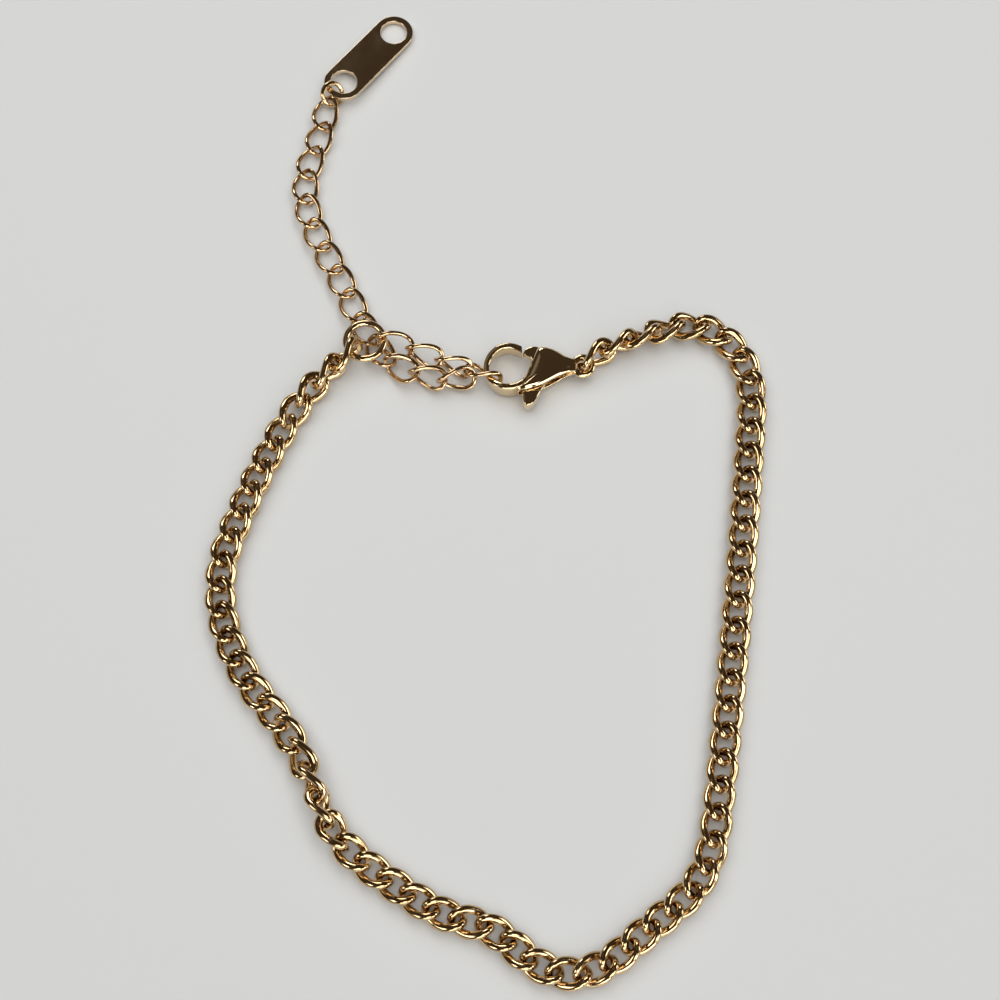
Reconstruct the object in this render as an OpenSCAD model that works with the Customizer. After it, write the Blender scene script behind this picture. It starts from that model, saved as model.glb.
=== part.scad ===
// Link bracelet, laid flat and fastened: a curb chain with a lobster clasp
// at one end, and an extender chain with a small tag at the other.
// Millimetres, +Z up. The bracelet lies on z = 0, and the origin is the
// middle of the ground that it covers.

/* [Main chain] */
// Length of a curb link over its ends
curb_length = 4.45; // [4.3:0.05:4.6]
// Width of a curb link over its sides
curb_width = 3.1; // [3.05:0.05:3.3]
// Diameter of the main chain's wire
curb_wire = 0.78; // [0.6:0.02:0.8]
// Turn of a curb link's ends out of its flat, in degrees
curb_twist = 50; // [46:1:54]
// Play between two curb links along the chain
curb_play = 0.29; // [0.25:0.01:0.35]

/* [Extender chain] */
// Length of an extender link over its ends
ext_length = 4.15; // [4.1:0.05:4.3]
// Width of an extender link over its sides
ext_width = 2.85; // [2.75:0.05:2.9]
// Diameter of the extender's wire
ext_wire = 0.42; // [0.34:0.02:0.44]
// Turn of an extender link's ends out of its flat, in degrees
ext_twist = 40; // [35:1:45]
// Play between two extender links along the chain
ext_play = 0.3; // [0.25:0.01:0.4]

/* [Link mesh] */
// How square a link's outline is, where 2 is an ellipse
link_fullness = 2.5; // [2.4:0.1:2.8]
// Straight pieces round a link
link_segments = 12; // [12:1:14]

/* [Rings] */
// Outer diameter of the ring that joins the two chains
end_ring_d = 4.6; // [4.55:0.05:4.65]
// Wire of the end ring
end_ring_wire = 0.7; // [0.6:0.02:0.72]
// Outer diameter of the ring that carries the tag
tag_ring_d = 2.85; // [2.8:0.05:3.0]
// Wire of the tag ring
tag_ring_wire = 0.5; // [0.4:0.02:0.52]
// Lean of the tag ring, in degrees
tag_ring_lean = 45; // [43:1:47]

/* [Tag] */
// Length of the tag over its round ends
tag_length = 12.5; // [11:0.1:14]
// Width of the tag
tag_width = 4.2; // [4.1:0.05:4.4]
// Thickness of the tag
tag_thick = 0.55; // [0.45:0.01:0.6]
// Diameter of the hole in each end of the tag
tag_hole_d = 2.9; // [2.8:0.05:3.0]
// Bevel along the tag's edges
tag_bevel = 0.12; // [0.05:0.01:0.15]

/* [Clasp] */
// Outer diameter of the clasp's claw
claw_d = 5.15; // [5.05:0.05:5.25]
// Mean width of the claw's band, seen from above
claw_band = 0.68; // [0.62:0.01:0.7]
// Height of the claw's band at its hook
claw_height = 1.5; // [1.3:0.05:1.6]
// Height of the claw's band at its root
claw_root_height = 2.3; // [2.0:0.05:2.5]
// Thickness of the clasp's domed body
body_thick = 2.8; // [2.7:0.05:3.0]
// Radius of the body's dome
dome_r = 9; // [8:0.5:12]
// Distance from the claw's centre to the tail eye's centre
eye_reach = 7.74; // [7.6:0.02:7.9]
// Outer diameter of the tail eye
eye_d = 2.6; // [2.5:0.05:2.7]
// Wire of the tail eye
eye_wire = 0.7; // [0.6:0.02:0.74]
// Width of the neck between body and eye
neck_width = 1.1; // [0.9:0.05:1.2]

/* [Lever] */
// Thickness of the lever inside the body
lever_thick = 1.0; // [0.8:0.05:1.1]
// Thickness of the thumb nub
nub_thick = 1.5; // [1.2:0.05:1.6]
// Distance from the claw's centre to the pin, along the clasp
pin_reach = 3.7; // [3.6:0.02:3.8]
// Diameter of the pin
pin_d = 0.7; // [0.5:0.02:0.8]
// Distance from the pin to the gate's tip
gate_reach = 2.68; // [2.6:0.01:2.7]
// Distance from the claw's centre line to the end of the thumb nub
nub_reach = 4.15; // [4.05:0.05:4.3]

/* [Clearances] */
// Gap between gate and hook, round the pin
hook_gap = 0.12; // [0.1:0.01:0.2]
// Gap above and below the lever in its slot
slot_gap = 0.1; // [0.06:0.01:0.15]
// Gap round the pin in the lever's bore
lever_bore_gap = 0.04; // [0.02:0.01:0.08]
// Gap round the pin in the body's bore
pin_seat_gap = 0.02; // [0.01:0.01:0.04]
// Gap between pieces of wire that rest on each other
rest_gap = 0.1; // [0.1:0.01:0.15]
// Room under the chains for links that lie at a slope
chain_lift = 0.1; // [0.1:0.01:0.15]
// How far the tag's end wall hangs from the middle of its ring
tag_hang = 0.1; // [0.05:0.01:0.15]

/* [Hidden] */
$fn = 48;

gold = "#c9a262";
dark_gold = "#a9824a";

// Routes of the chains over the ground, chosen by eye. Each point is
// [x, y, roll of the chain in degrees, lift above where it would lie].
// From the end ring round the wrist to the clasp's tail eye
curb_route = [
    [-13.9, 11.9, -126, 0.2], [-16.1, 9.5, -92, 0], [-18.8, 6.4, -42, 0],
    [-21, 2.8, -8, 0], [-23.6, -2.8, 0, 0], [-25.9, -9.2, 0, 0],
    [-26.4, -12.4, 0, 0], [-25.9, -16.8, 0, 0], [-23.5, -22.2, 0, 0],
    [-19.9, -26.7, 6, 0], [-18, -29.7, 34, 0.03], [-16.4, -33.2, 88, 0.03],
    [-14.9, -36.4, 137, 0.04], [-12.6, -39.1, 172, 0.03], [-8, -42.3, 180, 0],
    [-4, -44.6, 180, 0], [-1, -45.2, 180, 0], [1.2, -46.3, 180, 0],
    [3.1, -48.1, 180, 0], [5.2, -49.4, 180, 0], [7.6, -49.8, 180, 0],
    [9.9, -49.4, 180, 0], [12, -48, 180, 0], [15, -45.5, 180, 0],
    [18.8, -42.4, 180, 0], [20.6, -39.2, 180, 0], [21.6, -34, 180, 0],
    [23, -24, 180, 0], [24.9, -8.9, 180, 0], [26.3, 4.1, 180, 0],
    [26.5, 7.2, 180, 0], [26, 10.1, 178, 0], [24.5, 12.5, 180, 0],
    [22.3, 14.1, 184, 0], [20.1, 14.4, 197, 0], [17.4, 13.7, 222, 0],
    [12.6, 12, 267, 0.1], [9.75, 10.15, 304, -0.22]];
// From the tag ring to the end ring
tag_strand_route = [
    [-17.55, 40.6, 7, 0], [-17.8, 38, 0, 0], [-18.6, 35, 0, 0],
    [-19.6, 31.5, 0, 0], [-19.4, 28, 0, 0], [-17.8, 24, 0, 0],
    [-15.5, 19.6, 0, 0], [-13.5, 15.25, 0, 0], [-12.05, 12.75, 0, 0.05]];
// On under the end ring and along to the fold beside the claw
fold_strand_route = [
    [-12.05, 12.75, 0, 0.05], [-10.3, 10.25, 3, 0.25], [-8, 9.1, 59, 0.05],
    [-4.9, 8.25, 57, 0.15]];
// Back from the end ring to the link that the claw holds
claw_strand_route = [
    [-11.2, 12.45, 0, 1.25], [-8.25, 11.65, 62, 0.1], [-5.3, 10.55, 61, 0],
    [-2.35, 9.55, 98, -0.15], [0.8, 8.55, 135, 0.1]];
// The link at the fold: its centre, heading, slope and roll
fold_link = [[-3.4, 8.35, 1.65], 9, -5, 65];
// Centre of the end ring, of the claw and of the tag ring over the ground
end_ring_at = [-12.75, 12.4];
claw_at = [1.7, 9.3];
tag_ring_at = [-17, 41.35];
// Heading of the clasp from claw to tail, and of the tag from its ring
clasp_heading = 4;
tag_heading = 51;

// A kind of link: half length and half width to the wire's centre line,
// wire radius, twist of the ends, and sides of the wire's section
curb_link = [(curb_length - curb_wire) / 2, (curb_width - curb_wire) / 2,
             curb_wire / 2, curb_twist, 6];
ext_link = [(ext_length - ext_wire) / 2, (ext_width - ext_wire) / 2,
            ext_wire / 2, ext_twist, 5];

end_ring_z = chain_lift + 2 * lying_height(ext_link, 0) + rest_gap
             + end_ring_wire / 2;
tag_ring_mid_r = (tag_ring_d - tag_ring_wire) / 2;
tag_ring_z = tag_ring_mid_r * sin(tag_ring_lean) + tag_ring_wire / 2;
tag_wall = (tag_width - tag_hole_d) / 2;
tag_run = tag_length - tag_width;
tag_reach = tag_length - tag_wall / 2 + tag_hang;
tag_slope = asin((tag_ring_z - tag_thick / 2) / tag_reach);

claw_r = claw_d / 2;
claw_middle = [0.2, 0.15];
opening_middle = [0.25, 0.2];
hook_x = 1.66;
root_x = 1.28;
clasp_mid = body_thick / 2;
slot_height = lever_thick + 2 * slot_gap;
hook_cut_r = gate_reach + hook_gap;
pin_y = -0.1;
nub_tip_y = -nub_reach;

function unit(v) = v / norm(v);
function squared(v) = sign(v) * pow(abs(v), 2 / link_fullness);

// The turn of a link's section at x, and its centre line at angle t
function turn(link, x, roll) = roll - link[3] * x / link[0];
function on_link(link, t, roll) =
    let (x = link[0] * squared(cos(t)), y = link[1] * squared(sin(t)),
         a = turn(link, x, roll))
    [x, y * cos(a), y * sin(a)];
function lying_height(link, roll) =
    max([for (t = [0 : 15 : 345]) on_link(link, t, roll).z]) + link[2];

// A smooth curve through a route's points, as [x, y, z, roll]
function curve_at(p, t) =
    (2 * p[1] + (p[2] - p[0]) * t
     + (2 * p[0] - 5 * p[1] + 4 * p[2] - p[3]) * t * t
     + (3 * p[1] - p[0] - 3 * p[2] + p[3]) * t * t * t) / 2;
function curve(route, steps = 12) =
    let (last = len(route) - 1,
         all = concat([2 * route[0] - route[1]], route,
                      [2 * route[last] - route[last - 1]]))
    concat([for (i = [0 : last - 1], j = [0 : steps - 1])
                curve_at([for (k = [0 : 3]) all[i + k]], j / steps)],
           [route[last]]);
function lifted(link, points) =
    [for (p = points)
        [p.x, p.y, chain_lift + lying_height(link, p[2]) + p[3], p[2]]];
function place_of(p) = [p.x, p.y, p.z];
function lengths(points) =
    [for (i = 0, s = 0; i < len(points);
          s = s + (i + 1 < len(points)
                   ? norm(place_of(points[i + 1]) - place_of(points[i])) : 0),
          i = i + 1) s];

// Links laid end to end along a route, each as [centre, heading, roll]
function laid(link, route, play) =
    let (points = lifted(link, curve(route)), runs = lengths(points),
         total = runs[len(runs) - 1],
         count = round(total / (2 * (link[0] - link[2]) - play)),
         table = [for (c = [0 : 3])
                     [for (i = [0 : len(runs) - 1]) [runs[i], points[i][c]]]],
         joints = [for (i = [0 : count])
                      [for (c = [0 : 2]) lookup(total * i / count, table[c])]])
    [for (i = [0 : count - 1])
        [(joints[i] + joints[i + 1]) / 2, unit(joints[i + 1] - joints[i]),
         lookup(total * (i + 0.5) / count, table[3])]];

// The corner points of one link's wire, and the triangles between them
function wire_points(link, place) =
    let (ahead = place[1], side = unit(cross([0, 0, 1], ahead)),
         above = cross(ahead, side), step = 360 / link_segments)
    [for (j = [0 : link_segments - 1])
        let (t = j * step, roll = place[2], p = on_link(link, t, roll),
             along = unit(on_link(link, t + step, roll)
                          - on_link(link, t - step, roll)),
             a = turn(link, p.x, roll), normal = [0, -sin(a), cos(a)],
             up = unit(normal - (normal * along) * along),
             out = cross(along, up))
        for (k = [0 : link[4] - 1])
            let (w = (k + 0.5) * 360 / link[4],
                 q = p + link[2] * (cos(w) * out + sin(w) * up))
            place[0] + q.x * ahead + q.y * side + q.z * above];
function wire_faces(sides, first) =
    let (corners = link_segments * sides)
    [for (j = [0 : link_segments - 1], k = [0 : sides - 1])
        let (a = j * sides + k, b = j * sides + (k + 1) % sides,
             c = (b + sides) % corners, d = (a + sides) % corners)
        for (f = [[a, c, b], [a, d, c]]) [for (v = f) first + v]];

// A run of loose links as one mesh of closed shells
module links(link, places) {
    corners = link_segments * link[4];
    polyhedron(points = [for (p = places) each wire_points(link, p)],
               faces = [for (i = [0 : len(places) - 1])
                           each wire_faces(link[4], i * corners)]);
}

module wire_ring(outer_d, wire) {
    rotate_extrude()
        translate([(outer_d - wire) / 2, 0])
            circle(d = wire, $fn = 32);
}

module curb_chain() {
    color(gold)
        links(curb_link, laid(curb_link, curb_route, curb_play));
}

module extender_chain() {
    heading = fold_link[1];
    slope = fold_link[2];
    ahead = [cos(heading) * cos(slope), sin(heading) * cos(slope), sin(slope)];
    color(gold)
        links(ext_link,
              concat(laid(ext_link, tag_strand_route, ext_play),
                     laid(ext_link, fold_strand_route, ext_play),
                     laid(ext_link, claw_strand_route, ext_play),
                     [[fold_link[0], ahead, fold_link[3]]]));
}

module end_ring() {
    color(gold)
        translate([end_ring_at.x, end_ring_at.y, end_ring_z])
            wire_ring(end_ring_d, end_ring_wire);
}

// Moves to the tag ring's middle, with X along the tag
module at_tag_ring() {
    translate([tag_ring_at.x, tag_ring_at.y, tag_ring_z])
        rotate([0, 0, tag_heading])
            children();
}

module tag_ring() {
    color(gold)
        at_tag_ring()
            rotate([tag_ring_lean, 0, 0])
                wire_ring(tag_ring_d, tag_ring_wire);
}

// A flat plate with round ends
module round_plate(width, thick) {
    for (end = [0, tag_run])
        translate([end, 0, -thick / 2])
            cylinder(d = width, h = thick);
    translate([0, -width / 2, -thick / 2])
        cube([tag_run, width, thick]);
}

module tag() {
    rim = tag_width - 2 * tag_bevel;
    color(dark_gold)
        at_tag_ring()
            rotate([0, tag_slope, 0])
                translate([(tag_width - tag_wall) / 2 + tag_hang, 0, 0])
                    difference() {
                        union() {
                            round_plate(tag_width, tag_thick - 2 * tag_bevel);
                            round_plate(rim, tag_thick);
                        }
                        for (end = [0, tag_run])
                            translate([end, 0, -tag_thick])
                                cylinder(d = tag_hole_d, h = 2 * tag_thick);
                    }
}

// Moves to the claw's centre at mid height, with X towards the tail
module at_clasp() {
    translate([claw_at.x, claw_at.y, clasp_mid])
        rotate([0, 0, clasp_heading])
            children();
}

// A plate of the given outline, centred on the clasp's mid height
module clasp_plate(thick) {
    translate([0, 0, -thick / 2])
        linear_extrude(thick)
            children();
}

// The claw's band, from the root at the body round to the hook. It
// narrows towards the hook and is tall only at its root.
module claw() {
    intersection() {
        claw_ring(claw_height);
        clasp_plate(claw_height)
            polygon([[-claw_d, -claw_d], [root_x, -claw_d], [root_x, 0],
                     [hook_x, 0], [hook_x, claw_d], [-claw_d, claw_d]]);
    }
    intersection() {
        claw_ring(claw_root_height);
        rotate([90, 0, 0])
            linear_extrude(claw_d)
                polygon([[-claw_r * 0.7, 0.1 - claw_height / 2],
                         [root_x, -claw_root_height / 2],
                         [root_x, claw_root_height / 2],
                         [-claw_r * 0.7, claw_height / 2 - 0.1]]);
    }
}

// A ring of the claw's outline with its outer edges taken off
module claw_ring(height) {
    edge = claw_band / 5;
    half = height / 2;
    difference() {
        translate(claw_middle)
            rotate_extrude()
                polygon([[0, -half], [claw_r - edge, -half],
                         [claw_r, edge - half], [claw_r, half - edge],
                         [claw_r - edge, half], [0, half]]);
        translate([opening_middle.x, opening_middle.y, -height])
            cylinder(r = claw_r - claw_band, h = 2 * height);
    }
}

// Outline of the body: a rounded triangle beside the claw's opening
module body_outline() {
    tail_x = eye_reach - eye_d / 2;
    polygon([[1, -2.2], [1.9, -2.3], [3.6, -1.9], [4.9, -1.3],
             [5.9, -0.8], [tail_x + 0.15, -0.4], [tail_x + 0.15, 0.4],
             [5.95, 0.85], [5.3, 1.35], [4.75, 1.7], [4.2, 1.93], [3.75, 2.03],
             [3.3, 2], [2.6, 0.6], [1.95, -0.8], [1.45, -1.55],
             [1, -1.85]]);
}

// The two sides of the body are parts of large spheres, and slope
// down to the neck
module dome() {
    drop = dome_r - body_thick / 2;
    half = body_thick / 2;
    intersection() {
        clasp_plate(body_thick)
            body_outline();
        rotate([90, 0, 0])
            translate([0, 0, -claw_d])
                linear_extrude(2 * claw_d)
                    polygon([[0, -half], [5.2, -half], [eye_reach - 1, -0.45],
                             [eye_reach - 1, 0.45], [5.2, half], [0, half]]);
        translate([pin_reach, pin_y, drop])
            sphere(r = dome_r, $fn = 96);
        translate([pin_reach, pin_y, -drop])
            sphere(r = dome_r, $fn = 96);
    }
}

// The room in which the lever turns, open to the claw and below
module slot_outline() {
    polygon([[root_x, 0], [hook_x + 0.1, 2.9], [3.55, 2.9], [3.7, 1.5],
             [4.6, 1.05], [5.2, 0.3], [5.2, -0.4], [5.9, -0.7],
             [6.3, -3.2], [root_x, -3.2]]);
}

module clasp_body() {
    neck_x = eye_reach - eye_d / 2 + eye_wire / 2;
    color(gold)
        at_clasp()
            difference() {
                union() {
                    difference() {
                        union() {
                            claw();
                            dome();
                        }
                        clasp_plate(slot_height)
                            slot_outline();
                    }
                    translate([eye_reach, 0, 0])
                        wire_ring(eye_d, eye_wire);
                    clasp_plate(eye_wire)
                        polygon([[5.3, -0.2 - neck_width / 2],
                                 [neck_x, -neck_width / 2],
                                 [neck_x, neck_width / 2],
                                 [5.3, 0.1 + neck_width / 2]]);
                }
                // The hook's end is hollow to let the gate's tip pass
                intersection() {
                    translate([pin_reach, pin_y, -body_thick])
                        cylinder(r = hook_cut_r, h = 2 * body_thick);
                    translate([0, 1, -body_thick])
                        cube([hook_x + 0.5, 3, 2 * body_thick]);
                }
                translate([pin_reach, pin_y, -body_thick])
                    cylinder(d = pin_d + 2 * pin_seat_gap, h = 2 * body_thick);
            }
}

// Outline of the lever: the gate, the hub round the pin and the arm
module lever_outline() {
    intersection() {
        translate([pin_reach, pin_y])
            circle(r = gate_reach);
        polygon([[1.72, 1.62], [2, 1.45], [2.45, 1.2], [2.7, 0.8],
                 [2.75, 0.4], [2.2, -0.75], [1.65, -1.7],
                 [root_x + 0.1, -2.3], [root_x + 0.1, -2.7], [3.25, -2.6],
                 [4.2, -1.1], [4.6, -0.2], [4.35, 0.6], [3.6, 1.1],
                 [3.4, 2.2], [3, 2.35], [2.4, 2.28], [1.95, 2.02]]);
    }
}

// Outline of the thumb nub, a tongue with a round tip
module nub_outline() {
    translate([2.02, nub_tip_y + 0.6])
        circle(r = 0.6);
    polygon([[root_x + 0.1, -2.2], [root_x + 0.13, -3.4], [1.42, nub_tip_y + 0.6],
             [2.58, nub_tip_y + 0.45], [3.35, -2.4], [2.6, -1.6]]);
}

module clasp_lever() {
    color(dark_gold)
        at_clasp()
            difference() {
                union() {
                    clasp_plate(lever_thick) {
                        lever_outline();
                        nub_outline();
                    }
                    // The thumb's end is thicker, beyond the body's edge
                    clasp_plate(nub_thick)
                        difference() {
                            nub_outline();
                            translate([pin_reach, pin_y])
                                circle(r = gate_reach + 0.5);
                        }
                }
                translate([pin_reach, pin_y, -lever_thick])
                    cylinder(d = pin_d + 2 * lever_bore_gap, h = 2 * lever_thick);
            }
}

module clasp_pin() {
    length = body_thick - 0.1;
    color(dark_gold)
        at_clasp()
            translate([pin_reach, pin_y, -length / 2])
                cylinder(d = pin_d, h = length);
}

curb_chain();
extender_chain();
end_ring();
tag_ring();
tag();
clasp_body();
clasp_lever();
clasp_pin();
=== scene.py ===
# %% [markdown]
# A link bracelet lies on a pale china plate: a curb chain with a lobster
# clasp at one end, and a thin extender chain with a small tag at the other.
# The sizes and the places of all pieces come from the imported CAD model. This
# lesson gives the pieces their smooth, polished look in Blender. Metal like
# this is mostly a mirror, so its look comes from three things together:
# round shapes, a clean gold shader, and something dark and something bright
# for the gold to mirror.

# %% Load the frame
import math

import bmesh
import bpy
from mathutils import Matrix, Vector


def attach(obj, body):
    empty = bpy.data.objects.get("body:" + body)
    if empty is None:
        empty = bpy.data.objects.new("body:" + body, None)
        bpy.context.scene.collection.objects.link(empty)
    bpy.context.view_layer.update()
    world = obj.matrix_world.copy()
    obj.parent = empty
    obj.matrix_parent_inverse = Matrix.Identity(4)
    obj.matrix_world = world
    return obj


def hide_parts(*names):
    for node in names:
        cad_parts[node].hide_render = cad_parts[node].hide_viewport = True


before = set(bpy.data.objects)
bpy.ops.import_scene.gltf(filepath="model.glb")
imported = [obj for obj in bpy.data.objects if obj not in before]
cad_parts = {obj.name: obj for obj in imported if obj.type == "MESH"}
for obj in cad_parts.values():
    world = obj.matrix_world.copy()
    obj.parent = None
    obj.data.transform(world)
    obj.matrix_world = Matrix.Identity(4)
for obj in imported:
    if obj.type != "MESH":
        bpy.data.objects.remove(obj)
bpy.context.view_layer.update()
MM = 0.001
print("CAD nodes:", sorted(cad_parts))

# %% [markdown]
# The photograph looks down steeply on the bracelet from its near side. A
# camera is set by where it aims, how far away it is and how high it stands.
# The lens is in millimetres for Blender's usual 36 mm wide sensor. The clip
# start is brought close, because the whole scene is only as big as a saucer.

# %% Camera
AIM = Vector((1.0, -4.0, 0.0)) * MM
CAMERA_DISTANCE = 170 * MM
CAMERA_ELEVATION = math.radians(72.5)
CAMERA_LENS = 61.2

camera = bpy.data.objects.new("camera", bpy.data.cameras.new("camera"))
bpy.context.collection.objects.link(camera)
camera.data.lens = CAMERA_LENS
camera.data.sensor_width = 36
camera.data.clip_start = 5 * MM
camera.data.clip_end = 20
camera.location = AIM + CAMERA_DISTANCE * Vector(
    (0, -math.cos(CAMERA_ELEVATION), math.sin(CAMERA_ELEVATION)))
camera.rotation_euler = (math.pi / 2 - CAMERA_ELEVATION, 0, 0)
bpy.context.scene.camera = camera
print("camera at", [round(c, 4) for c in camera.location])

# %% [markdown]
# Each link of both chains is the same kind of thing: a round wire bent to an
# oval whose two ends are turned against each other, so that the chain lies
# flat. One master link is enough. A small circle is spun round into a ring,
# which is the operator that makes any hoop of wire. Then each point of the
# ring is carried over to the oval, and the oval is twisted about its length,
# as the jeweller's pliers do.

# %% A ring of wire
HOOP = 5.0          # radius of a plain hoop before its points are carried over


def wire_ring(outer, wire, around, sides):
    """A bmesh of a hoop of round wire that lies flat about the origin."""
    bm = bmesh.new()
    bmesh.ops.create_circle(bm, segments=sides, radius=wire / 2)
    bmesh.ops.rotate(bm, verts=bm.verts, cent=(0, 0, 0),
                     matrix=Matrix.Rotation(math.pi / 2, 3, "X"))
    bmesh.ops.translate(bm, verts=bm.verts, vec=((outer - wire) / 2, 0, 0))
    bmesh.ops.spin(bm, geom=bm.verts[:] + bm.edges[:], cent=(0, 0, 0),
                   axis=(0, 0, 1), angle=2 * math.pi, steps=around,
                   use_merge=True)
    bmesh.ops.recalc_face_normals(bm, faces=bm.faces)
    return bm


print("hoop radius:", HOOP, "mm")

# %% The master link
FULLNESS = 2.5      # 2 is an ellipse, more is squarer
STEP = 0.02         # radians ahead and behind that give the wire's direction
LINK_STEPS = 40     # along the wire of one link


class Link:
    """Sizes of one kind of link, in millimetres and degrees.

    The CAD wire leaves a small gap between solids. The plated wire fills
    that gap round the same middle line, so that visible links touch.
    """

    def __init__(self, length, width, wire, twist, play, plated):
        self.wire = wire
        self.plated = plated
        self.long = (length - wire) / 2
        self.wide = (width - wire) / 2
        self.twist = math.radians(twist)
        self.play = play


curb = Link(4.45, 3.1, 0.78, 50, 0.29, 0.88)
extender = Link(4.15, 2.85, 0.42, 40, 0.3, 0.51)


def oval(link, t):
    """A point of the flat oval that the wire's middle follows."""
    def fuller(v):
        return math.copysign(abs(v) ** (2 / FULLNESS), v)
    return Vector((link.long * fuller(math.cos(t)),
                   link.wide * fuller(math.sin(t)), 0))


def master_link(link, sides):
    """The hoop after each of its points is carried to the twisted oval."""
    bm = wire_ring(2 * HOOP + link.plated, link.plated, LINK_STEPS, sides)
    for v in bm.verts:
        t = math.atan2(v.co.y, v.co.x)
        outward = math.hypot(v.co.x, v.co.y) - HOOP
        ahead = (oval(link, t + STEP) - oval(link, t - STEP)).normalized()
        v.co = (oval(link, t) + outward * ahead.cross(Vector((0, 0, 1)))
                + Vector((0, 0, v.co.z)))
        turn = -link.twist * v.co.x / link.long
        v.co.yz = (v.co.y * math.cos(turn) - v.co.z * math.sin(turn),
                   v.co.y * math.sin(turn) + v.co.z * math.cos(turn))
    bmesh.ops.recalc_face_normals(bm, faces=bm.faces)
    return bm


for kind, link in (("curb", curb), ("extender", extender)):
    print(kind, "link: pitch about",
          round(2 * (link.long - link.wire / 2) - link.play, 2), "mm")

# %% [markdown]
# A chain is the master link set down again and again along a route. The
# route is a handful of points on the plate, joined by a smooth curve. Each
# point also says how far the chain has rolled over there, and how high it is
# lifted where it rests on something. Half a link lies on each side of a
# joint, so the links are placed between joints at equal steps of length.

# %% Laying links along a route
CHAIN_LIFT = 0.1    # the CAD wire lies this far above the ground
CURVE_STEPS = 12    # of the curve between two points of a route


def lying_height(link, roll):
    """Height of a link's middle above what it lies on."""
    tops = []
    for n in range(24):
        p = oval(link, math.radians(15 * n))
        turn = math.radians(roll) - link.twist * p.x / link.long
        tops.append(p.y * math.sin(turn))
    return max(tops) + link.wire / 2


def smooth_route(route):
    """A Catmull-Rom curve through the points of a route."""
    points = [Vector(p) for p in route]
    points = ([2 * points[0] - points[1]] + points
              + [2 * points[-1] - points[-2]])
    curve = []
    for a, b, c, d in zip(points, points[1:], points[2:], points[3:]):
        for n in range(CURVE_STEPS):
            t = n / CURVE_STEPS
            curve.append((2 * b + (c - a) * t
                          + (2 * a - 5 * b + 4 * c - d) * t * t
                          + (3 * b - a - 3 * c + d) * t * t * t) / 2)
    return curve + [points[-2]]


def places_along(link, route):
    """Centre, direction and roll of each link on a route."""
    points = []
    for x, y, roll, lift in smooth_route(route):
        height = CHAIN_LIFT + lying_height(link, roll) + lift
        points.append(Vector((x, y, height, roll)))
    runs = [0.0]
    for a, b in zip(points, points[1:]):
        runs.append(runs[-1] + (b.xyz - a.xyz).length)

    def at(run):
        n = next((i for i in range(1, len(runs)) if runs[i] >= run),
                 len(runs) - 1)
        part = (run - runs[n - 1]) / (runs[n] - runs[n - 1])
        return points[n - 1].lerp(points[n], min(max(part, 0), 1))

    count = round(runs[-1] / (2 * (link.long - link.wire / 2) - link.play))
    step = runs[-1] / count
    joints = [at(step * n) for n in range(count + 1)]
    places = []
    for n, (a, b) in enumerate(zip(joints, joints[1:])):
        places.append(((a.xyz + b.xyz) / 2, (b.xyz - a.xyz).normalized(),
                       at(step * (n + 0.5)).w))
    return places


def link_matrix(centre, ahead, roll):
    """Where a link goes: its length along the chain, then rolled over."""
    side = Vector((0, 0, 1)).cross(ahead).normalized()
    turned = Matrix((ahead, side, ahead.cross(side))).transposed().to_4x4()
    return (Matrix.Translation(centre) @ turned
            @ Matrix.Rotation(math.radians(roll), 4, "X"))


print("curve steps between route points:", CURVE_STEPS)

# %% [markdown]
# Every shape is worked out in millimetres and becomes an object in metres.
# Each object says which body it moves with and what it is made of, and the
# CAD node that it stands for is hidden. A whole chain is one object:
# thousands of small ones would be slow, and here the links don't move.

# %% Turning a bmesh into a piece of the bracelet
BODY_OF = {"clasp_lever": "lever"}      # every other node rides the bracelet


def add_piece(name, bm, material, node):
    """A finished piece in metres, which stands for its CAD node."""
    bmesh.ops.scale(bm, verts=bm.verts, vec=(MM, MM, MM))
    mesh = bpy.data.meshes.new(name)
    for face in bm.faces:
        face.smooth = len(face.verts) <= 4      # larger ones are flat caps
    bm.to_mesh(mesh)
    bm.free()
    piece = bpy.data.objects.new(name, mesh)
    bpy.context.collection.objects.link(piece)
    mesh.materials.append(material)
    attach(piece, BODY_OF.get(node, "bracelet"))
    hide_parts(node)
    print(name, "faces:", len(mesh.polygons))


def chain_bmesh(link, places, sides):
    """All links of a chain, each one the master link set down again."""
    master = bpy.data.meshes.new("master link")
    bm = master_link(link, sides)
    bm.to_mesh(master)
    bm.free()
    chain = bmesh.new()
    for place in places:
        known = len(chain.verts)
        chain.from_mesh(master)
        chain.verts.ensure_lookup_table()
        bmesh.ops.transform(chain, matrix=link_matrix(*place),
                            verts=chain.verts[known:])
    bpy.data.meshes.remove(master)
    return chain


print("nodes on a body of their own:", BODY_OF)

# %% [markdown]
# Gold plate over brass is a metal with a warm colour and almost no grain, so
# the shader is metallic with a low roughness. Nothing real is perfectly
# clean: a fine noise makes some spots a little duller than others, a larger
# one shifts the colour slightly from link to link, and a faint bump lets the
# highlights waver as they do on a tumbled chain. The bump is much weaker on
# the flat faces, where it would look hammered. A clear coat adds a little
# uncoloured shine, which makes the brightest spots cream instead of yellow.

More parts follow.
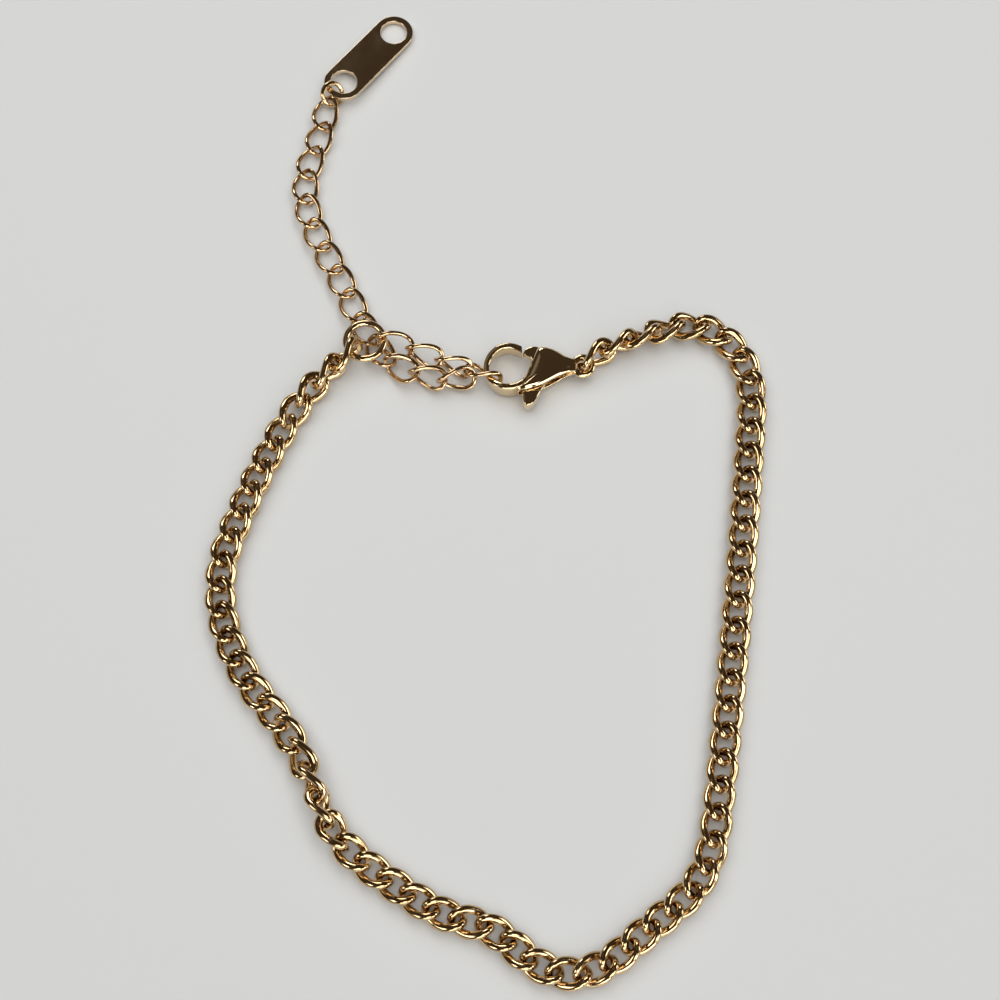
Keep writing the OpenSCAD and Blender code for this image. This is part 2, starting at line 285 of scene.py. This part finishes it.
# %% Gold
def gold(name, deep, light, roughness, patch=260, grain=900, wobble=0.02):
    """Two tones in large patches, and a fine grain in shine and bump."""
    material = bpy.data.materials.new(name)
    material.use_nodes = True
    nodes, links = material.node_tree.nodes, material.node_tree.links
    shader = nodes["Principled BSDF"]
    shader.inputs["Metallic"].default_value = 1.0
    shader.inputs["Coat Weight"].default_value = 0.8
    shader.inputs["Coat Roughness"].default_value = 0.1
    where = nodes.new("ShaderNodeTexCoord")

    def noise(scale, detail):
        texture = nodes.new("ShaderNodeTexNoise")
        texture.inputs["Scale"].default_value = scale
        texture.inputs["Detail"].default_value = detail
        links.new(where.outputs["Object"], texture.inputs["Vector"])
        return texture.outputs["Fac"]

    colour = nodes.new("ShaderNodeValToRGB")
    colour.color_ramp.elements[0].position = 0.3
    colour.color_ramp.elements[0].color = (*deep, 1)
    colour.color_ramp.elements[1].position = 0.7
    colour.color_ramp.elements[1].color = (*light, 1)
    links.new(noise(patch, 2), colour.inputs["Fac"])
    links.new(colour.outputs["Color"], shader.inputs["Base Color"])

    fine = noise(grain, 3)
    dull = nodes.new("ShaderNodeMapRange")
    dull.inputs["From Min"].default_value = 0.35
    dull.inputs["From Max"].default_value = 0.75
    dull.inputs["To Min"].default_value = roughness * 0.7
    dull.inputs["To Max"].default_value = roughness * 1.6
    links.new(fine, dull.inputs["Value"])
    links.new(dull.outputs["Result"], shader.inputs["Roughness"])

    bump = nodes.new("ShaderNodeBump")
    bump.inputs["Strength"].default_value = wobble
    bump.inputs["Distance"].default_value = 0.1 * MM
    links.new(fine, bump.inputs["Height"])
    links.new(bump.outputs["Normal"], shader.inputs["Normal"])
    return material


chain_gold = gold("chain gold", (0.52, 0.35, 0.16), (0.69, 0.49, 0.26), 0.13)
extender_gold = gold("extender gold", (0.55, 0.36, 0.18),
                     (0.74, 0.52, 0.29), 0.14)
ring_gold = gold("ring gold", (0.62, 0.43, 0.22), (0.79, 0.58, 0.32), 0.12)
tag_gold = gold("tag gold", (0.72, 0.55, 0.34), (0.76, 0.59, 0.38), 0.13,
                patch=150, grain=500, wobble=0.003)
clasp_gold = gold("clasp gold", (0.74, 0.55, 0.29), (0.82, 0.63, 0.37), 0.07,
                  wobble=0.005)
print("golds:", [m.name for m in (chain_gold, extender_gold, ring_gold,
                                  tag_gold, clasp_gold)])

# %% [markdown]
# The main chain runs from the ring that joins both chains, down the left
# side, through the kink where it turns over, and back up the right side to
# the clasp. Its route is the one that the CAD part was laid on.

# %% The curb chain
CURB_ROUTE = [
    (-13.9, 11.9, -126, 0.2), (-16.1, 9.5, -92, 0), (-18.8, 6.4, -42, 0),
    (-21, 2.8, -8, 0), (-23.6, -2.8, 0, 0), (-25.9, -9.2, 0, 0),
    (-26.4, -12.4, 0, 0), (-25.9, -16.8, 0, 0), (-23.5, -22.2, 0, 0),
    (-19.9, -26.7, 6, 0), (-18, -29.7, 34, 0.03), (-16.4, -33.2, 88, 0.03),
    (-14.9, -36.4, 137, 0.04), (-12.6, -39.1, 172, 0.03), (-8, -42.3, 180, 0),
    (-4, -44.6, 180, 0), (-1, -45.2, 180, 0), (1.2, -46.3, 180, 0),
    (3.1, -48.1, 180, 0), (5.2, -49.4, 180, 0), (7.6, -49.8, 180, 0),
    (9.9, -49.4, 180, 0), (12, -48, 180, 0), (15, -45.5, 180, 0),
    (18.8, -42.4, 180, 0), (20.6, -39.2, 180, 0), (21.6, -34, 180, 0),
    (23, -24, 180, 0), (24.9, -8.9, 180, 0), (26.3, 4.1, 180, 0),
    (26.5, 7.2, 180, 0), (26, 10.1, 178, 0), (24.5, 12.5, 180, 0),
    (22.3, 14.1, 184, 0), (20.1, 14.4, 197, 0), (17.4, 13.7, 222, 0),
    (12.6, 12, 267, 0.1), (9.75, 10.15, 304, -0.22)]

curb_places = places_along(curb, CURB_ROUTE)
print("curb links:", len(curb_places))
add_piece("curb_links", chain_bmesh(curb, curb_places, sides=14), chain_gold,
          "curb_chain")

# %% [markdown]
# The extender is a lighter chain of the same make. It hangs on the ring that
# joins the chains. Seen from there, one run of it goes up to the tag. The
# rest goes to the claw and comes back, because the clasp holds it by a link
# in its middle, and the spare links fold back under.

# %% The extender chain
TAG_STRAND = [
    (-17.55, 40.6, 7, 0), (-17.8, 38, 0, 0), (-18.6, 35, 0, 0),
    (-19.6, 31.5, 0, 0), (-19.4, 28, 0, 0), (-17.8, 24, 0, 0),
    (-15.5, 19.6, 0, 0), (-13.5, 15.25, 0, 0), (-12.05, 12.75, 0, 0.05)]
FOLD_STRAND = [
    (-12.05, 12.75, 0, 0.05), (-10.3, 10.25, 3, 0.25), (-8, 9.1, 59, 0.05),
    (-4.9, 8.25, 57, 0.15)]
CLAW_STRAND = [
    (-11.2, 12.45, 0, 1.25), (-8.25, 11.65, 62, 0.1), (-5.3, 10.55, 61, 0),
    (-2.35, 9.55, 98, -0.15), (0.8, 8.55, 135, 0.1)]
# The one link in which the spare run turns back: centre, direction, roll.
fold_heading, fold_slope = math.radians(9), math.radians(-5)
FOLD_LINK = (Vector((-3.4, 8.35, 1.65)),
             Vector((math.cos(fold_heading) * math.cos(fold_slope),
                     math.sin(fold_heading) * math.cos(fold_slope),
                     math.sin(fold_slope))), 65)

extender_places = (places_along(extender, TAG_STRAND)
                   + places_along(extender, FOLD_STRAND)
                   + places_along(extender, CLAW_STRAND) + [FOLD_LINK])
print("extender links:", len(extender_places))
add_piece("extender_links", chain_bmesh(extender, extender_places, sides=12),
          extender_gold, "extender_chain")

# %% [markdown]
# Two plain jump rings hold things together: a stout one joins the chains,
# and a small one carries the tag. Both are the hoop from before. The small
# one leans on the tag's edge, so it is tilted before it is turned.

# %% The rings
def placed(bm, place):
    """The bmesh after it has been moved to where its piece belongs."""
    bmesh.ops.transform(bm, matrix=place, verts=bm.verts)
    return bm


def turned(angle, axis):
    return Matrix.Rotation(math.radians(angle), 4, axis)


END_RING_WIDTH, END_RING_WIRE = 4.6, 0.7
END_RING_AT = (-12.75, 12.4, 1.9)
add_piece("end_hoop",
          placed(wire_ring(END_RING_WIDTH, END_RING_WIRE, around=72, sides=24),
                 Matrix.Translation(END_RING_AT)),
          ring_gold, "end_ring")

TAG_RING_WIDTH, TAG_RING_WIRE, TAG_RING_LEAN = 2.85, 0.5, 45
TAG_RING_X, TAG_RING_Y = -17, 41.35
TAG_HEADING = 51                        # degrees from +X
TAG_RING_Z = ((TAG_RING_WIDTH - TAG_RING_WIRE) / 2
              * math.sin(math.radians(TAG_RING_LEAN)) + TAG_RING_WIRE / 2)
at_tag_ring = (Matrix.Translation((TAG_RING_X, TAG_RING_Y, TAG_RING_Z))
               @ turned(TAG_HEADING, "Z"))
add_piece("tag_hoop",
          placed(wire_ring(TAG_RING_WIDTH, TAG_RING_WIRE, around=64, sides=20),
                 at_tag_ring @ turned(TAG_RING_LEAN, "X")),
          ring_gold, "tag_ring")

# %% [markdown]
# The tag is a small stamped plate with round ends and a hole in each. Its
# outline and the two holes are drawn as loops of edges, the area between
# them is filled, and the flat shape is pulled up to its thickness. The rims
# are then rounded with a fine bevel, which is what makes a bright line along
# the edge of a stamped part. The real face is engraved, and this one is bare.

# %% The tag
TAG_LENGTH, TAG_WIDTH, TAG_THICK, TAG_HOLE = 12.5, 4.2, 0.55, 2.9
TAG_RUN = TAG_LENGTH - TAG_WIDTH        # between the middles of the holes
RING_PLAY = 0.1                         # between the tag ring and the tag


def loop_of(bm, points):
    """A closed loop of edges through the points."""
    verts = [bm.verts.new((x, y, 0)) for x, y in points]
    return [bm.edges.new((a, b)) for a, b in zip(verts, verts[1:] + verts[:1])]


def arc(cx, cy, r, start, end, steps):
    """Points on a circle from one angle to another, both in degrees."""
    angles = [math.radians(start + (end - start) * n / steps)
              for n in range(steps + 1)]
    return [(cx + r * math.cos(a), cy + r * math.sin(a)) for a in angles]


def round_rims(bm, rims, width, segments):
    """Rounds the edges, which gives them a highlight of their own."""
    bmesh.ops.bevel(bm, geom=rims, offset=width, offset_type="OFFSET",
                    segments=segments, profile=0.5, affect="EDGES",
                    material=-1, clamp_overlap=True)


def thick_plate(bm, loops, low, high, rim, segments=3):
    """Fills the loops, gives the plate its thickness and rounds its rims."""
    bmesh.ops.triangle_fill(bm, edges=loops, use_beauty=True)
    flat = bm.faces[:]
    walls = bmesh.ops.extrude_face_region(bm, geom=flat)["geom"]
    raised = [v for v in walls if isinstance(v, bmesh.types.BMVert)]
    bmesh.ops.translate(bm, verts=raised, vec=(0, 0, high - low))
    bmesh.ops.translate(bm, verts=bm.verts, vec=(0, 0, low))
    bmesh.ops.recalc_face_normals(bm, faces=bm.faces)
    bmesh.ops.dissolve_limit(bm, angle_limit=0.01, verts=bm.verts,
                             edges=bm.edges)
    rims = [e for e in bm.edges
            if abs(e.verts[0].co.z - e.verts[1].co.z) < 1e-6
            and e.calc_face_angle(0) > 0.5]
    round_rims(bm, rims, rim, segments)
    return bm


bm = bmesh.new()
outline = (arc(0, 0, TAG_WIDTH / 2, 90, 270, 24)
           + arc(TAG_RUN, 0, TAG_WIDTH / 2, -90, 90, 24))
loops = loop_of(bm, outline)
for end in (0, TAG_RUN):
    loops += loop_of(bm, arc(end, 0, TAG_HOLE / 2, 0, 345, 23))
thick_plate(bm, loops, -TAG_THICK / 2, TAG_THICK / 2, rim=0.09)
tag_wall = (TAG_WIDTH - TAG_HOLE) / 2
tag_slope = math.degrees(math.asin((TAG_RING_Z - TAG_THICK / 2)
                                   / (TAG_LENGTH - tag_wall / 2 + RING_PLAY)))
tag_place = (at_tag_ring @ turned(tag_slope, "Y")
             @ Matrix.Translation(((TAG_WIDTH - tag_wall) / 2 + RING_PLAY,
                                   0, 0)))
add_piece("tag_plate", placed(bm, tag_place), tag_gold, "tag")

# %% [markdown]
# The clasp is cast in one piece: a claw, a body of two domed cheeks with a
# slot between them, and an eye at the tail. The claw starts as a hoop again.
# Each point of the hoop is carried to a taller, squarer section with round
# rims. One straight cut opens it, and leaves the hook's tip above and the
# root below.

# %% The clasp's claw
CLASP_AT, CLASP_HEADING = (1.7, 9.3, 1.4), 4    # degrees from +X
at_clasp = Matrix.Translation(CLASP_AT) @ turned(CLASP_HEADING, "Z")
CLAW_CENTRE = (0.2, 0.15)
CLAW_OUTER = 2.545                      # radius to the outside of the band
CLAW_HALF_BAND = 0.29
CLAW_SQUARE = 0.85                      # 0 is a round section, 1 is square
CLAW_LOW = 1.5                          # height where a link hangs on it
CLAW_LOW_PART, CLAW_SLOPE = 22, 50      # degrees that stay low, and that rise
TIP_RISE, ROOT_RISE = 0.45, 0.85        # how much taller each end is
CLAW_CUT = 1.66                         # X of the straight cut


def band_height(angle):
    """The band is low where a link hangs on it, and taller elsewhere."""
    a = (angle + 360) % 360 - 180       # from the middle of the low part
    rise = min(max((abs(a) - CLAW_LOW_PART) / CLAW_SLOPE, 0), 1)
    rise = rise * rise * (3 - 2 * rise)
    return CLAW_LOW + (TIP_RISE if a < 0 else ROOT_RISE) * rise


bm = wire_ring(2 * HOOP + 2, 2, around=120, sides=24)
for v in bm.verts:
    t = math.atan2(v.co.y, v.co.x)
    out, up = math.hypot(v.co.x, v.co.y) - HOOP, v.co.z
    squarer = 1 / max(abs(out), abs(up)) ** CLAW_SQUARE
    r = CLAW_OUTER - CLAW_HALF_BAND + out * squarer * CLAW_HALF_BAND
    v.co = (CLAW_CENTRE[0] + r * math.cos(t), CLAW_CENTRE[1] + r * math.sin(t),
            up * squarer * band_height(math.degrees(t)) / 2)
bmesh.ops.bisect_plane(bm, geom=bm.verts[:] + bm.edges[:] + bm.faces[:],
                       plane_co=(CLAW_CUT, 0, 0), plane_no=(1, 0, 0),
                       clear_outer=True)
bmesh.ops.holes_fill(bm, edges=[e for e in bm.edges if e.is_boundary], sides=0)
ends = [e for e in bm.edges if e.calc_face_angle(0) > 1.0
        and all(abs(v.co.x - CLAW_CUT) < 1e-4 for v in e.verts)]
round_rims(bm, ends, width=0.07, segments=2)
bmesh.ops.recalc_face_normals(bm, faces=bm.faces)
add_piece("clasp_claw", placed(bm, at_clasp), clasp_gold, "clasp_body")

# %% [markdown]
# A cheek begins as a flat outline and is pulled up to a short wall. The first
# inset rises steeply and makes the bright lip round its rim, and the later
# ones rise less and less, so the middle is a low dome. A last step lowers it
# towards the tail and a little towards the claw. The second cheek is the
# first one mirrored, with its faces turned the right way round afterwards.

# %% The clasp's cheeks
CHEEK = [(1.0, -2.42), (1.9, -2.4), (2.8, -2.22), (3.6, -1.94), (4.9, -1.34),
         (5.9, -0.86), (6.6, -0.68), (7.0, -0.66), (7.0, 0.6), (6.6, 0.72),
         (5.95, 1.0), (5.3, 1.42), (4.75, 1.74), (4.2, 1.95), (3.7, 2.04),
         (3.3, 1.92), (2.95, 1.3), (2.6, 0.55), (2.25, -0.2), (1.9, -0.85),
         (1.45, -1.5), (1.0, -1.85)]
CHEEK_INNER, CHEEK_WALL = 0.62, 0.34    # start and height of the wall
CHEEK_STEPS = ((0.22, 0.18), (0.1, 0.045), (0.12, 0.035))   # inset, rise
CHEEK_DOME = 0.1                        # rise of the middle after the steps
ROUNDED_BELOW = 1.2                     # folds above this stay sharp
TAIL_START, TAIL_RUN = 4.9, 2.1         # X where the tail starts, its length
TAIL_FALL = 0.54                        # part of the height lost at its end
FRONT_END, FRONT_FALL = 1.9, 0.12       # X, and the part lost per mm before it


def cheek(side):
    """The upper cheek, or for a side of -1 the lower one."""
    bm = bmesh.new()
    bm.faces.new([bm.verts.new((x, y, CHEEK_INNER)) for x, y in CHEEK])
    wall = bmesh.ops.extrude_face_region(bm, geom=bm.faces[:])["geom"]
    raised = [v for v in wall if isinstance(v, bmesh.types.BMVert)]
    bmesh.ops.translate(bm, vec=(0, 0, CHEEK_WALL), verts=raised)
    bmesh.ops.recalc_face_normals(bm, faces=bm.faces)
    top = max(bm.faces, key=lambda f: f.calc_center_median().z)
    for inset, rise in CHEEK_STEPS:
        bmesh.ops.inset_region(bm, faces=[top], thickness=inset, depth=rise,
                               use_even_offset=True, use_boundary=True)
    bmesh.ops.poke(bm, faces=[top], offset=CHEEK_DOME)
    rims = [e for e in bm.edges if e.calc_face_angle(0) > 0.5
            and max(v.co.z for v in e.verts) < ROUNDED_BELOW
            and abs(e.verts[0].co.z - e.verts[1].co.z) < 1e-6]
    round_rims(bm, rims, width=0.05, segments=2)
    for v in bm.verts:
        fall = min(max((v.co.x - TAIL_START) / TAIL_RUN, 0), 1)
        v.co.z *= 1 - TAIL_FALL * fall * fall * (3 - 2 * fall)
        if v.co.x < FRONT_END:
            v.co.z *= 1 - FRONT_FALL * (FRONT_END - v.co.x)
    if side < 0:
        bmesh.ops.scale(bm, vec=(1, 1, -1), verts=bm.verts)
    bmesh.ops.recalc_face_normals(bm, faces=bm.faces)
    return bm


for name, side in (("clasp_cheek_top", 1), ("clasp_cheek_bottom", -1)):
    add_piece(name, placed(cheek(side), at_clasp), clasp_gold, "clasp_body")

# %% [markdown]
# At the tail the cheeks close on a short neck, which carries the eye. Both
# are made with helpers that are already here: the neck is a thick plate
# between four corners, and the eye is one more hoop of round wire.

# %% The neck and the eye
NECK_HALF = 0.4                         # half of its thickness
EYE_WIDTH, EYE_WIRE, EYE_AT = 2.6, 0.7, (7.74, 0, 0)
bm = bmesh.new()
neck = loop_of(bm, [(5.2, -0.7), (6.9, -0.55), (6.9, 0.5), (5.2, 0.9)])
thick_plate(bm, neck, -NECK_HALF, NECK_HALF, rim=0.12)
add_piece("clasp_neck", placed(bm, at_clasp), clasp_gold, "clasp_body")
add_piece("clasp_eye",
          placed(wire_ring(EYE_WIDTH, EYE_WIRE, around=64, sides=20),
                 at_clasp @ Matrix.Translation(EYE_AT)),
          clasp_gold, "clasp_body")

# %% [markdown]
# The lever turns on a pin between the cheeks. One end of it is the gate that
# shuts the claw, and the other is the thumb nub, which is thicker because it
# stands outside the slot. The pin's ends stay just below the cheeks' faces.

# %% The lever and its pin
LEVER_HALF, NUB_HALF = 0.5, 0.75        # half of each one's thickness
RIVET_RADIUS, RIVET_LENGTH, RIVET_AT = 0.35, 2.34, (3.7, -0.1, 0)
bm = bmesh.new()
lever = loop_of(bm, [(1.74, 1.6), (2.0, 1.42), (2.45, 1.17), (2.7, 0.8),
                     (2.75, 0.4), (2.2, -0.75), (1.65, -1.7), (1.5, -2.2),
                     (2.2, -2.7), (3.3, -2.5), (4.2, -1.1), (4.6, -0.2),
                     (4.35, 0.6), (3.6, 1.1), (3.4, 2.2), (3.0, 2.33),
                     (2.4, 2.26), (1.95, 2.0)])
thick_plate(bm, lever, -LEVER_HALF, LEVER_HALF, rim=0.12)
add_piece("lever_plate", placed(bm, at_clasp), clasp_gold, "clasp_lever")

bm = bmesh.new()
nub = loop_of(bm, [(1.38, -2.5), (1.36, -3.2), (1.4, -3.75), (1.55, -4.0),
                   (1.8, -4.12), (2.08, -4.1), (2.35, -3.92), (2.6, -3.65),
                   (2.9, -3.22), (3.15, -2.8), (3.3, -2.5)])
thick_plate(bm, nub, -NUB_HALF, NUB_HALF, rim=0.19, segments=4)
add_piece("lever_nub", placed(bm, at_clasp), clasp_gold, "clasp_lever")

bm = bmesh.new()
bmesh.ops.create_cone(bm, cap_ends=True, segments=32, radius1=RIVET_RADIUS,
                      radius2=RIVET_RADIUS, depth=RIVET_LENGTH)
round_rims(bm, [e for e in bm.edges if e.calc_face_angle(0) > 1],
           width=0.06, segments=2)
add_piece("clasp_rivet",
          placed(bm, at_clasp @ Matrix.Translation(RIVET_AT)),
          clasp_gold, "clasp_pin")

# %% [markdown]
# The plate is plain and pale, with a dull sheen that mirrors only a soft glow
# of the metal just above it. It is not part of the bracelet, only the stage
# that it lies on. The plated wire is a little thicker than the CAD wire, so
# the plate lies just below the ground.

# %% The plate under the bracelet
PLATE_HALF = 1.5                        # metres, far larger than the bracelet
PLATE_Z = -0.08 * MM
bm = bmesh.new()
bmesh.ops.create_grid(bm, x_segments=1, y_segments=1, size=PLATE_HALF)
bmesh.ops.translate(bm, verts=bm.verts, vec=(0, 0, PLATE_Z))
mesh = bpy.data.meshes.new("floor")
bm.to_mesh(mesh)
bm.free()
floor = bpy.data.objects.new("floor", mesh)
bpy.context.collection.objects.link(floor)
china = bpy.data.materials.new("china")
china.use_nodes = True
glaze = china.node_tree.nodes["Principled BSDF"]
glaze.inputs["Base Color"].default_value = (0.79, 0.80, 0.795, 1)
glaze.inputs["Roughness"].default_value = 0.3
glaze.inputs["IOR"].default_value = 1.35
mesh.materials.append(china)
print("plate at", round(PLATE_Z / MM, 3), "mm")

# %% [markdown]
# Polished gold shows what it mirrors. So the gold gets lamps of its own: a
# ring of small soft lamps at low and middle heights, which only round wire
# and rims can mirror towards the camera. Straight above them the air stays
# dark, and flat faces such as the tag look brown. One dim card gives a
# domed cheek its lighter half. The plate ignores these lamps, because their
# light is switched off for diffuse rays. The world adds a warm, dim rest.

# %% Light
WORLD_COLOUR = (0.052, 0.038, 0.027)
LAMP_DISTANCE = 0.6                     # metres
LAMP_COLOUR = (1.0, 0.99, 0.97)
world = bpy.context.scene.world or bpy.data.worlds.new("world")
bpy.context.scene.world = world
world.use_nodes = True
world.node_tree.nodes["Background"].inputs["Color"].default_value = (
    *WORLD_COLOUR, 1)
world.node_tree.nodes["Background"].inputs["Strength"].default_value = 1.0


def soft_lamp(name, azimuth, elevation, distance, size, power, colour):
    """An area lamp that faces the plate, placed by its bearing and height."""
    lamp = bpy.data.lights.new(name, "AREA")
    lamp.shape = "RECTANGLE"
    lamp.size, lamp.size_y = size
    lamp.energy = power
    lamp.color = colour
    spot = bpy.data.objects.new(name, lamp)
    bpy.context.collection.objects.link(spot)
    a, e = math.radians(azimuth), math.radians(elevation)
    away = Vector((math.sin(a) * math.cos(e), math.cos(a) * math.cos(e),
                   math.sin(e)))
    spot.location = away * distance
    spot.rotation_mode = "QUATERNION"
    spot.rotation_quaternion = away.to_track_quat("Z", "Y")
    return spot


for name, azimuth, elevation, size, power in (
        ("window lamp", -14, 26, (0.24, 0.15), 0.8),
        ("near lamp", 180, 19, (0.42, 0.18), 1.3),
        ("over lamp", 166, 49, (0.3, 0.18), 0.9),
        ("side lamp", 134, 25, (0.34, 0.17), 0.9),
        ("right lamp", 86, 18, (0.26, 0.15), 0.7),
        ("left lamp", -112, 28, (0.24, 0.17), 0.7),
        ("dim card", -42, 62, (0.22, 0.18), 0.02)):
    lamp = soft_lamp(name, azimuth, elevation, LAMP_DISTANCE, size, power,
                     LAMP_COLOUR)
    lamp.visible_diffuse = False
    print(name, "at azimuth", azimuth, "and elevation", elevation)

# %% [markdown]
# The plate has the opposite lamps: large and high, for soft shadows. The gold
# would mirror them as big pale patches, so glossy rays don't see them. A
# studio does the same with a tent that has a dark hole above the object.

# %% Fill light
FILL_DISTANCE = 0.8                     # metres
FILL_COLOUR = (0.99, 1.0, 1.0)
for name, azimuth, elevation, size, power in (
        ("fill above", -30, 74, (1.2, 1.2), 6.8),
        ("fill near", 150, 50, (0.8, 0.6), 1.2),
        ("fill right", 60, 50, (0.8, 0.6), 0.9)):
    fill = soft_lamp(name, azimuth, elevation, FILL_DISTANCE, size, power,
                     FILL_COLOUR)
    fill.visible_glossy = False
    print(name, "at azimuth", azimuth, "and elevation", elevation)

# %% [markdown]
# Blender's default view softens highlights, as film does. A small camera
# gives harder contrast, so the plain standard view is used.

# %% View
bpy.context.scene.view_settings.view_transform = "Standard"
print("view:", bpy.context.scene.view_settings.view_transform)
